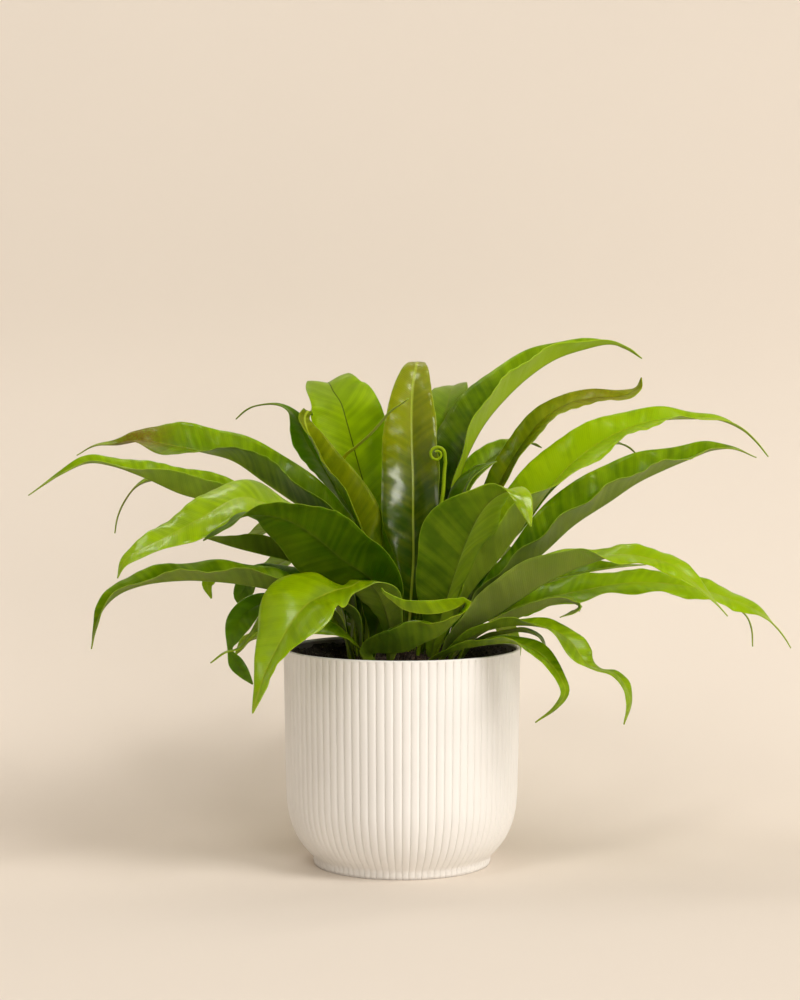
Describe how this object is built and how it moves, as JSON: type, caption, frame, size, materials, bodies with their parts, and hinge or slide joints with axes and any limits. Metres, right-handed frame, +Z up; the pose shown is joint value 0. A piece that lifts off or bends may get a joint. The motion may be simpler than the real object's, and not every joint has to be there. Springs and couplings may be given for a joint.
{
  "type": "potted fern",
  "caption": "Strap-leaved bird's-nest type fern with wavy arching fronds, standing in soil in a round fluted off-white cover pot.",
  "frame": {"origin": "middle of the flat underside of the pot, on the surface it stands on", "axes": "+Z up along the axis of the pot; the pictured side looks along -Y; +X to the right as seen in the picture"},
  "size_m": [0.5827, 0.3831, 0.4108],
  "materials": {
    "pot_wall": "matt, moulded flutes",
    "peat": "loose dark peat",
    "fibre": "dark fibrous rootstock",
    "leaf": "glossy above, matt below",
    "deep_leaf": "glossy above, matt below",
    "olive_leaf": "glossy above, matt below",
    "young_leaf": "satin"
  },
  "bodies": {
    "root": {"pot": "pot_wall", "soil": "peat", "crown": "fibre", "frond_left_01": "deep_leaf", "frond_left_02": "leaf", "frond_left_03": "leaf", "frond_left_04": "leaf", "frond_left_05": "leaf", "frond_left_06": "deep_leaf", "frond_left_07": "leaf", "frond_left_08": "leaf", "frond_left_09": "leaf", "frond_left_10": "deep_leaf", "frond_left_11": "leaf", "frond_left_12": "deep_leaf", "frond_left_13": "deep_leaf", "frond_middle_01": "leaf", "frond_middle_02": "olive_leaf", "frond_middle_03": "olive_leaf", "frond_middle_04": "leaf", "frond_middle_05": "olive_leaf", "frond_front_01": "leaf", "frond_right_01": "leaf", "frond_right_02": "olive_leaf", "frond_right_03": "leaf", "frond_right_04": "leaf", "frond_right_05": "leaf", "frond_right_06": "leaf", "frond_right_07": "leaf", "frond_right_08": "leaf", "frond_right_09": "leaf", "frond_right_10": "leaf", "frond_right_11": "leaf", "frond_right_12": "leaf", "frond_right_13": "deep_leaf", "frond_right_14": "leaf", "frond_right_15": "leaf", "frond_right_16": "deep_leaf", "frond_back_01": "leaf", "frond_back_02": "deep_leaf", "frond_back_03": "leaf", "frond_back_04": "leaf", "frond_back_05": "deep_leaf", "frond_back_06": "leaf", "frond_back_07": "leaf", "frond_back_08": "deep_leaf", "frond_back_09": "leaf", "frond_back_10": "leaf", "frond_back_11": "deep_leaf", "frond_back_12": "leaf", "frond_back_13": "leaf", "crozier": "young_leaf"}
  },
  "joints": []
}
